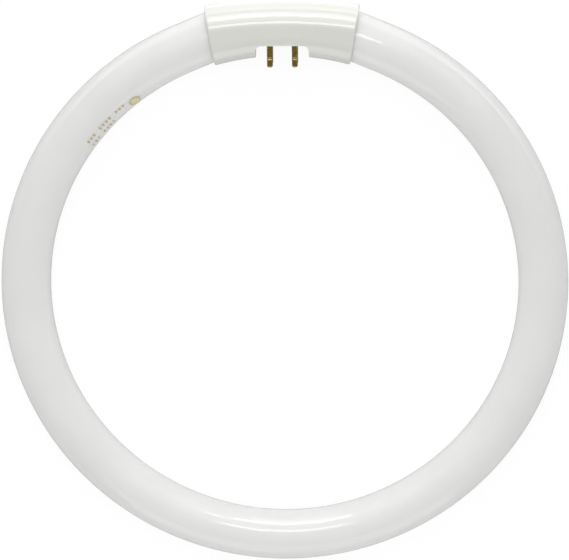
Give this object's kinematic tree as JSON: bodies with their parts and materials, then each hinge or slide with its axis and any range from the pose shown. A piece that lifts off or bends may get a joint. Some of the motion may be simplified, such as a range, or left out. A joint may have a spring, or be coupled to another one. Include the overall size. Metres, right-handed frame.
{
  "type": "circular fluorescent tube",
  "caption": "Round ring-shaped fluorescent tube of white-coated glass, closed by a curved white plastic cap with a recess and brass contact pins that point to the middle.",
  "frame": {"origin": "centre of the ring, on the ring's middle plane", "axes": "+Z along the ring's axis, up as the lamp lies flat; +Y from the centre through the middle of the cap; the contact pins point along -Y"},
  "size_m": [0.228, 0.2295, 0.0226],
  "materials": {
    "coated_glass": "clear glass over an opaque white powder coating, smooth and glossy",
    "white_plastic": "glossy moulded white plastic",
    "ivory_plastic": "satin ivory insulating plastic",
    "pin_brass": "drawn brass, slightly dark",
    "lead_wire_metal": "nickel-plated wire",
    "sleeve_fibre": "braided glass-fibre sleeving"
  },
  "bodies": {
    "root": {"glass_tube": "coated_glass", "cap_upper_shell": "white_plastic", "cap_lower_shell": "white_plastic", "pin_plate": "ivory_plastic", "upper_left_contact_pin": "pin_brass", "upper_left_lead_wire": "lead_wire_metal", "upper_left_wire_sleeve": "sleeve_fibre", "upper_right_contact_pin": "pin_brass", "upper_right_lead_wire": "lead_wire_metal", "upper_right_wire_sleeve": "sleeve_fibre", "lower_left_contact_pin": "pin_brass", "lower_left_lead_wire": "lead_wire_metal", "lower_left_wire_sleeve": "sleeve_fibre", "lower_right_contact_pin": "pin_brass", "lower_right_lead_wire": "lead_wire_metal", "lower_right_wire_sleeve": "sleeve_fibre"}
  },
  "joints": []
}
